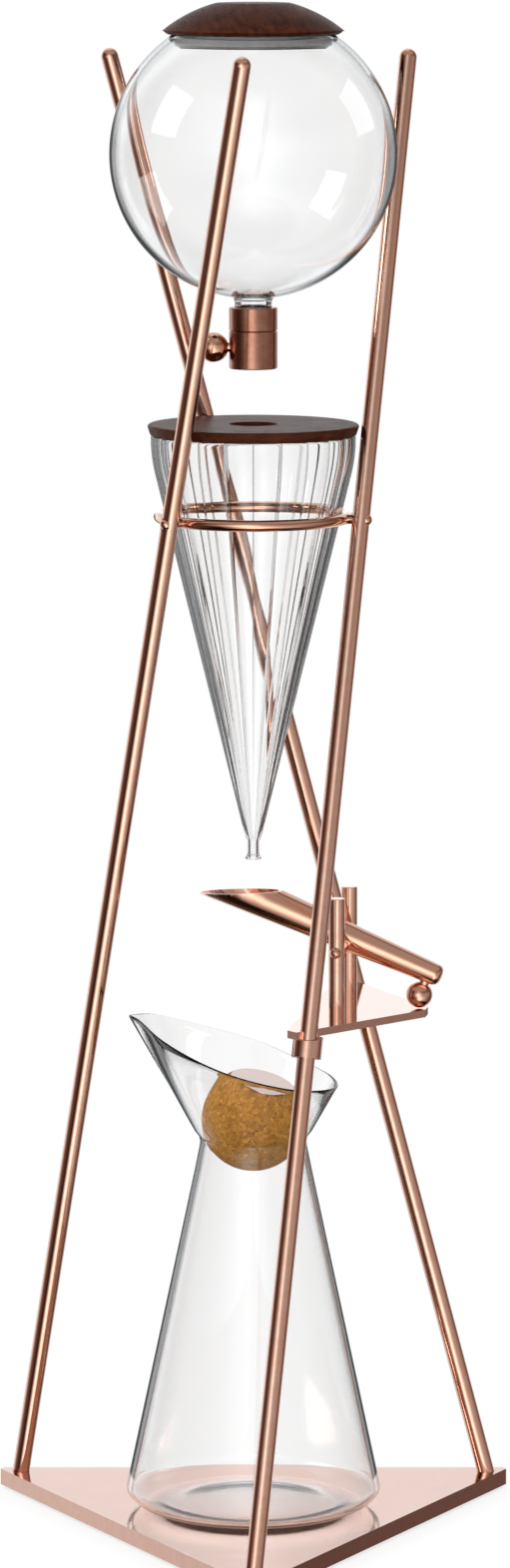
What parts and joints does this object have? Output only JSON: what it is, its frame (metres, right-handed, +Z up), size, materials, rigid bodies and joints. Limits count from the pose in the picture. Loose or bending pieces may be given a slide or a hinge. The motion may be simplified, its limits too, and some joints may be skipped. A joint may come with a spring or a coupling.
{
  "type": "cold drip coffee tower",
  "caption": "Skewed-rod stand cradling a globe water tank with a drip valve, over a lobed filter cone, a tipping tube and a spouted carafe.",
  "frame": {"origin": "on the floor under the tower's middle line, at the centre of the pad's underside", "axes": "+X right and -Y toward the viewer as pictured, +Z up along the tower"},
  "size_m": [0.2406, 0.2083, 0.7036],
  "materials": {
    "rose_gold": "mirror polish, rose-gold plated steel",
    "dark_metal": "bronze-toned, turned",
    "glass": "clear borosilicate",
    "walnut": "oiled walnut",
    "cork": "natural agglomerated cork",
    "silicone": "grey silicone",
    "rubber": "black rubber"
  },
  "bodies": {
    "stand": {"base_plate": "rose_gold", "base_pad": "rubber", "rod_screws": "dark_metal", "left_rod": "rose_gold", "front_rod": "rose_gold", "right_rod": "rose_gold", "support_ring": "rose_gold", "ring_screws": "rose_gold", "shelf_plate": "rose_gold", "front_collar": "rose_gold", "rear_collar": "rose_gold", "collar_screws": "dark_metal", "front_post": "rose_gold", "rear_post": "rose_gold", "post_screws": "dark_metal", "axle_pin": "rose_gold", "axle_cap": "rose_gold"},
    "tube": {"tipping_tube": "rose_gold", "pivot_sleeve": "rose_gold", "tube_partition": "dark_metal", "striker_ball": "rose_gold"},
    "tank": {"tank_globe": "glass", "union_nut": "rose_gold", "valve_gasket": "silicone", "valve_body": "dark_metal", "valve_oring": "rubber"},
    "lid": {"tank_lid": "walnut", "lid_seal": "silicone"},
    "knob": {"valve_knob": "rose_gold"},
    "needle": {"valve_needle": "dark_metal"},
    "filter": {"filter_cone": "glass"},
    "cover": {"filter_lid": "walnut"},
    "carafe": {"carafe": "glass"},
    "stopper": {"cork_stopper": "cork", "stopper_disc": "rose_gold"}
  },
  "joints": [
    {"name": "tube_tip", "type": "hinge", "parent": "stand", "child": "tube", "pos_m": [0.04113, -0.00744, 0.2744], "axis": [-0.178, -0.984, 0], "range_deg": [0, 45]},
    {"name": "tank_lift", "type": "slide", "parent": "stand", "child": "tank", "axis": [0, 0, 1], "range_m": [0, 0.06]},
    {"name": "tank_lid_lift", "type": "slide", "parent": "tank", "child": "lid", "axis": [0, 0, 1], "range_m": [0, 0.03]},
    {"name": "valve_knob_turn", "type": "hinge", "parent": "tank", "child": "knob", "pos_m": [-0.018, 0, 0.54841], "axis": [-1, 0, 0], "range_deg": [0, 270]},
    {"name": "valve_needle_travel", "type": "slide", "parent": "tank", "child": "needle", "axis": [-1, 0, 0], "range_m": [0, 0.0007]},
    {"name": "filter_lift", "type": "slide", "parent": "stand", "child": "filter", "axis": [0, 0, 1], "range_m": [0, 0.012]},
    {"name": "filter_lid_lift", "type": "slide", "parent": "filter", "child": "cover", "axis": [0, 0, 1], "range_m": [0, 0.008]},
    {"name": "carafe_pull", "type": "slide", "parent": "stand", "child": "carafe", "axis": [-0.7431, -0.6691, 0], "range_m": [0, 0.13]},
    {"name": "stopper_lift", "type": "slide", "parent": "carafe", "child": "stopper", "axis": [0, 0, 1], "range_m": [0, 0.02]}
  ],
  "couplings": [
    {"joint": "valve_needle_travel", "follows": "valve_knob_turn", "m_per_rad": 0.0001484}
  ]
}
